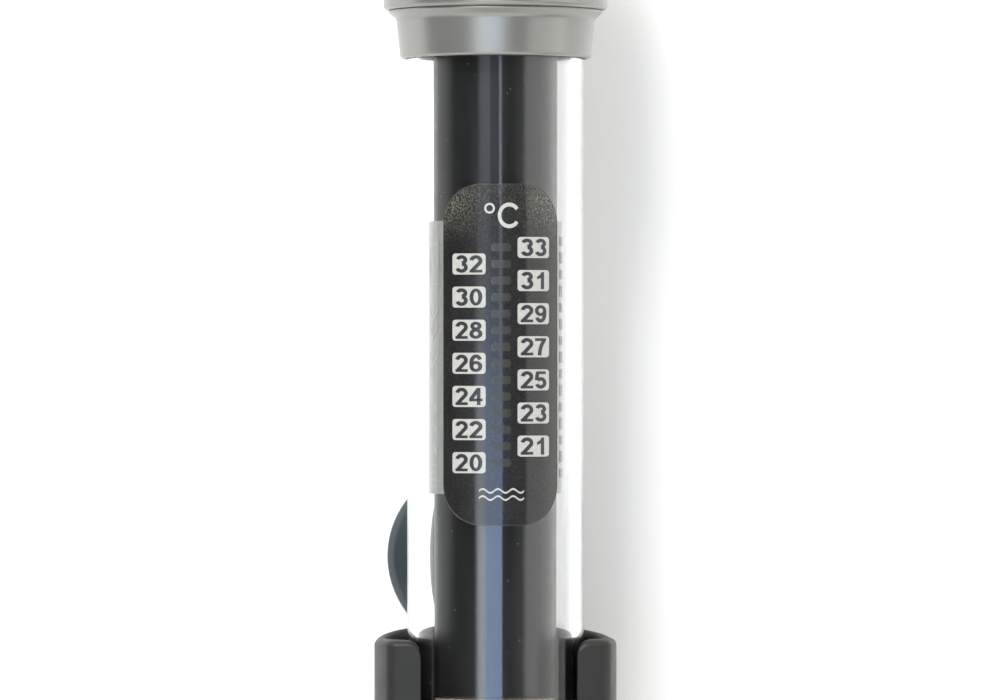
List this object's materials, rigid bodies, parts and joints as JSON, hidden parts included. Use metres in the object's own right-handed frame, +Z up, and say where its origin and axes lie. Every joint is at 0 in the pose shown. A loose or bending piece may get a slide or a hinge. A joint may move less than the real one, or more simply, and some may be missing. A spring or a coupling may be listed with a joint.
{
  "type": "submersible aquarium heater",
  "caption": "Clear glass tube heater with a black inner sleeve, a printed strip thermometer and a grey head, held by a black spring clip on suction cups.",
  "frame": {"origin": "on the aquarium wall, midway between the centres of the two suction cups", "axes": "+Z up along the tube, +Y out of the back of the holder into the wall, +X to the right seen from the front"},
  "size_m": [0.0344, 0.052, 0.2418],
  "materials": {
    "clear_glass": "clear drawn borosilicate tube with a faint grey-green edge",
    "black_plastic": "black moulded plastic, satin",
    "grey_plastic": "silver-grey moulded plastic with a fine satin grain",
    "pale_plastic": "off-white moulded plastic",
    "printed_film": null,
    "cup_pvc": "dark blue-grey soft PVC, slightly translucent",
    "seal_rubber": "black elastomer",
    "amber_lens": "clear amber plastic",
    "steel": "plain steel",
    "copper_alloy": "copper alloy",
    "resistance_wire": "oxidised resistance wire",
    "ceramic_body": "unglazed beige ceramic",
    "board_resin": "brown phenolic laminate",
    "magnet_ferrite": "dark ferrite",
    "blue_plastic": "blue insulation"
  },
  "bodies": {
    "holder": {"holder_bracket": "black_plastic"},
    "upper_cup": {"upper_suction_cup": "cup_pvc"},
    "lower_cup": {"lower_suction_cup": "cup_pvc"},
    "heater": {"glass_tube": "clear_glass", "thermometer_strip": "printed_film", "inner_sleeve": "black_plastic", "info_label": "printed_film", "head_collar": "grey_plastic", "head_housing": "grey_plastic", "tube_seal_ring": "seal_rubber", "tube_bung": "seal_rubber", "cable_gland": "black_plastic", "cable_grommet": "seal_rubber", "spindle_seal_ring": "seal_rubber", "indicator_lens": "amber_lens", "neon_lamp": "clear_glass", "lamp_resistor": "ceramic_body", "thermostat_board": "board_resin", "cam_bearing": "steel", "anchor_block": "board_resin", "contact_arm": "copper_alloy", "bimetal_strip": "steel", "arm_contact": "steel", "bimetal_contact": "steel", "snap_magnet": "magnet_ferrite", "suppression_capacitor": "blue_plastic", "thermal_fuse": "steel", "live_lead": "blue_plastic", "neutral_lead": "blue_plastic", "element_top_cap": "ceramic_body", "element_core": "ceramic_body", "heating_coil": "resistance_wire", "element_bottom_disc": "ceramic_body", "end_cushion": "seal_rubber", "short_element_lead": "copper_alloy", "long_element_lead": "copper_alloy"},
    "dial": {"temperature_knob": "black_plastic", "knob_insert": "pale_plastic", "knob_spindle": "steel", "spindle_clip": "steel", "adjusting_cam": "pale_plastic"}
  },
  "joints": [
    {"name": "upper_cup_swivel", "type": "hinge", "parent": "holder", "child": "upper_cup", "pos_m": [0, 0, 0.022], "axis": [0, 1, 0], "continuous": true},
    {"name": "lower_cup_swivel", "type": "hinge", "parent": "holder", "child": "lower_cup", "pos_m": [0, 0, -0.022], "axis": [0, 1, 0], "continuous": true},
    {"name": "heater_slide", "type": "slide", "parent": "holder", "child": "heater", "axis": [0, 0, 1], "range_m": [-0.08, 0.07]},
    {"name": "dial_turn", "type": "hinge", "parent": "heater", "child": "dial", "pos_m": [0, -0.041, 0.1378], "axis": [0, 0, 1], "range_deg": [-140, 140]}
  ]
}
